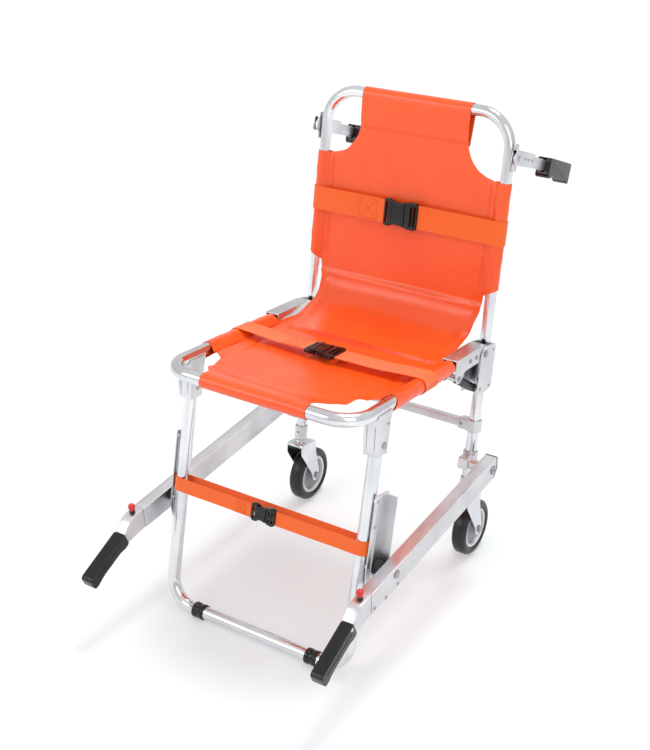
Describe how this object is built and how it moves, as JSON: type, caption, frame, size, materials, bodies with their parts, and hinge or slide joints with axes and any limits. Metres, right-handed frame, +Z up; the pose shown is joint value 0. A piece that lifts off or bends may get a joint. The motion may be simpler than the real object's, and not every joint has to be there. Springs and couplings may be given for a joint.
{
  "type": "folding evacuation chair",
  "caption": "Folding aluminium evacuation chair with fabric sling seat, buckled straps, folding carrying handles front and rear, and two rear swivel casters.",
  "frame": {"origin": "middle of the overall footprint, on the floor", "axes": "+Z up; the occupant faces -Y; +X is the side on the right when the chair is seen from the front"},
  "size_m": [0.534, 0.9707, 0.9127],
  "materials": {
    "polished_aluminium": "polished",
    "satin_aluminium": "satin",
    "chrome": "polished",
    "black_plastic": "satin",
    "black_rubber": "matte",
    "tyre_rubber": "matte",
    "hub_plastic": "satin",
    "red_plastic": "gloss",
    "orange_fabric": "coated, semi-gloss",
    "orange_webbing": "woven"
  },
  "bodies": {
    "back_frame": {"back_frame_tube": "polished_aluminium", "rear_crossbar": "satin_aluminium", "back_fabric": "orange_fabric", "sling_bend": "orange_fabric", "chest_strap": "orange_webbing", "chest_buckle_socket": "black_plastic", "chest_buckle_plug": "black_plastic", "crossbar_clamp_left": "satin_aluminium", "crossbar_clamp_right": "satin_aluminium", "seat_hinge_bracket_left": "satin_aluminium", "seat_hinge_bracket_right": "satin_aluminium", "rail_bracket_left": "satin_aluminium", "rail_bracket_right": "satin_aluminium", "caster_socket_left": "satin_aluminium", "caster_socket_right": "satin_aluminium", "rear_handle_bracket_left": "satin_aluminium", "rear_handle_bracket_right": "satin_aluminium"},
    "seat": {"seat_frame_tube": "polished_aluminium", "seat_fabric": "orange_fabric", "lap_strap": "orange_webbing", "lap_buckle_socket": "black_plastic", "lap_buckle_plug": "black_plastic", "seat_end_channel_left": "satin_aluminium", "seat_end_channel_right": "satin_aluminium", "leg_hinge_block_left": "satin_aluminium", "leg_hinge_block_right": "satin_aluminium"},
    "front_leg": {"front_leg_tube": "polished_aluminium", "leg_strap": "orange_webbing", "leg_buckle_socket": "black_plastic", "leg_buckle_plug": "black_plastic", "leg_track_left": "satin_aluminium", "leg_track_right": "satin_aluminium", "foot_left": "black_rubber", "foot_right": "black_rubber"},
    "rail_left": {"lower_rail_left": "satin_aluminium", "rail_roller_left": "black_plastic"},
    "brace_lower_left": {"brace_cylinder_left": "black_plastic"},
    "brace_upper_left": {"brace_rod_left": "chrome"},
    "front_handle_left": {"front_handle_bar_left": "satin_aluminium", "front_grip_left": "black_rubber"},
    "plunger_knob_left": {"plunger_left": "red_plastic"},
    "caster_left": {"caster_fork_left": "chrome"},
    "wheel_left": {"caster_tyre_left": "tyre_rubber", "caster_hub_left": "hub_plastic"},
    "rear_handle_left": {"rear_handle_bar_left": "satin_aluminium", "rear_grip_left": "black_rubber"},
    "release_left": {"release_knob_left": "black_plastic"},
    "rail_right": {"lower_rail_right": "satin_aluminium", "rail_roller_right": "black_plastic"},
    "brace_lower_right": {"brace_cylinder_right": "black_plastic"},
    "brace_upper_right": {"brace_rod_right": "chrome"},
    "front_handle_right": {"front_handle_bar_right": "satin_aluminium", "front_grip_right": "black_rubber"},
    "plunger_knob_right": {"plunger_right": "red_plastic"},
    "caster_right": {"caster_fork_right": "chrome"},
    "wheel_right": {"caster_tyre_right": "tyre_rubber", "caster_hub_right": "hub_plastic"},
    "rear_handle_right": {"rear_handle_bar_right": "satin_aluminium", "rear_grip_right": "black_rubber"},
    "release_right": {"release_knob_right": "black_plastic"}
  },
  "joints": [
    {"name": "seat_fold", "type": "hinge", "parent": "back_frame", "child": "seat", "pos_m": [0, 0.1605, 0.46307], "axis": [-1, 0, 0], "range_deg": [0, 90], "deforming": ["sling_bend"]},
    {"name": "front_leg_fold", "type": "hinge", "parent": "seat", "child": "front_leg", "pos_m": [0, -0.216, 0.44011], "axis": [1, 0, 0], "range_deg": [0, 90]},
    {"name": "rail_fold_left", "type": "hinge", "parent": "back_frame", "child": "rail_left", "pos_m": [-0.2505, 0.13052, 0.23393], "axis": [-1, 0, 0], "range_deg": [0, 90]},
    {"name": "brace_foot_left", "type": "hinge", "parent": "back_frame", "child": "brace_lower_left", "pos_m": [-0.2, 0.14434, 0.39375], "axis": [-1, 0, 0], "range_deg": [0, 90]},
    {"name": "brace_head_left", "type": "hinge", "parent": "seat", "child": "brace_upper_left", "pos_m": [-0.2, 0.05888, 0.45053], "axis": [1, 0, 0], "range_deg": [0, 90]},
    {"name": "front_handle_fold_left", "type": "hinge", "parent": "rail_left", "child": "front_handle_left", "pos_m": [-0.2505, -0.32736, 0.17619], "axis": [1, 0, 0], "range_deg": [0, 75]},
    {"name": "plunger_pull_left", "type": "slide", "parent": "front_handle_left", "child": "plunger_knob_left", "axis": [0, -0.0788, 0.9969], "range_m": [0, 0.008], "stiffness_N_per_m": 300, "springref_m": -0.004},
    {"name": "caster_swivel_left", "type": "hinge", "parent": "back_frame", "child": "caster_left", "pos_m": [-0.2, 0.14229, 0.15305], "axis": [0, 0.158, 0.9874], "continuous": true},
    {"name": "wheel_spin_left", "type": "hinge", "parent": "caster_left", "child": "wheel_left", "pos_m": [-0.2, 0.17383, 0.059], "axis": [1, 0, 0], "continuous": true},
    {"name": "rear_handle_fold_left", "type": "hinge", "parent": "back_frame", "child": "rear_handle_left", "pos_m": [-0.217, 0.24988, 0.8255], "axis": [-1, 0, 0], "range_deg": [0, 50]},
    {"name": "release_pull_left", "type": "slide", "parent": "back_frame", "child": "release_left", "axis": [0, 0.9874, -0.158], "range_m": [0, 0.008], "stiffness_N_per_m": 300, "springref_m": -0.004},
    {"name": "rail_fold_right", "type": "hinge", "parent": "back_frame", "child": "rail_right", "pos_m": [0.2505, 0.13052, 0.23393], "axis": [-1, 0, 0], "range_deg": [0, 90]},
    {"name": "brace_foot_right", "type": "hinge", "parent": "back_frame", "child": "brace_lower_right", "pos_m": [0.2, 0.14434, 0.39375], "axis": [-1, 0, 0], "range_deg": [0, 90]},
    {"name": "brace_head_right", "type": "hinge", "parent": "seat", "child": "brace_upper_right", "pos_m": [0.2, 0.05888, 0.45053], "axis": [1, 0, 0], "range_deg": [0, 90]},
    {"name": "front_handle_fold_right", "type": "hinge", "parent": "rail_right", "child": "front_handle_right", "pos_m": [0.2505, -0.32736, 0.17619], "axis": [1, 0, 0], "range_deg": [0, 75]},
    {"name": "plunger_pull_right", "type": "slide", "parent": "front_handle_right", "child": "plunger_knob_right", "axis": [0, -0.0788, 0.9969], "range_m": [0, 0.008], "stiffness_N_per_m": 300, "springref_m": -0.004},
    {"name": "caster_swivel_right", "type": "hinge", "parent": "back_frame", "child": "caster_right", "pos_m": [0.2, 0.14229, 0.15305], "axis": [0, 0.158, 0.9874], "continuous": true},
    {"name": "wheel_spin_right", "type": "hinge", "parent": "caster_right", "child": "wheel_right", "pos_m": [0.2, 0.17383, 0.059], "axis": [1, 0, 0], "continuous": true},
    {"name": "rear_handle_fold_right", "type": "hinge", "parent": "back_frame", "child": "rear_handle_right", "pos_m": [0.217, 0.24988, 0.8255], "axis": [-1, 0, 0], "range_deg": [0, 50]},
    {"name": "release_pull_right", "type": "slide", "parent": "back_frame", "child": "release_right", "axis": [0, 0.9874, -0.158], "range_m": [0, 0.008], "stiffness_N_per_m": 300, "springref_m": -0.004}
  ],
  "couplings": [
    {"joint": "front_leg_fold", "follows": "seat_fold", "ratio": 1},
    {"joint": "rail_fold_left", "follows": "seat_fold", "ratio": 1},
    {"joint": "brace_foot_left", "follows": "seat_fold", "ratio": 0.651},
    {"joint": "brace_head_left", "follows": "seat_fold", "ratio": 0.349},
    {"joint": "rail_fold_right", "follows": "seat_fold", "ratio": 1},
    {"joint": "brace_foot_right", "follows": "seat_fold", "ratio": 0.651},
    {"joint": "brace_head_right", "follows": "seat_fold", "ratio": 0.349}
  ]
}
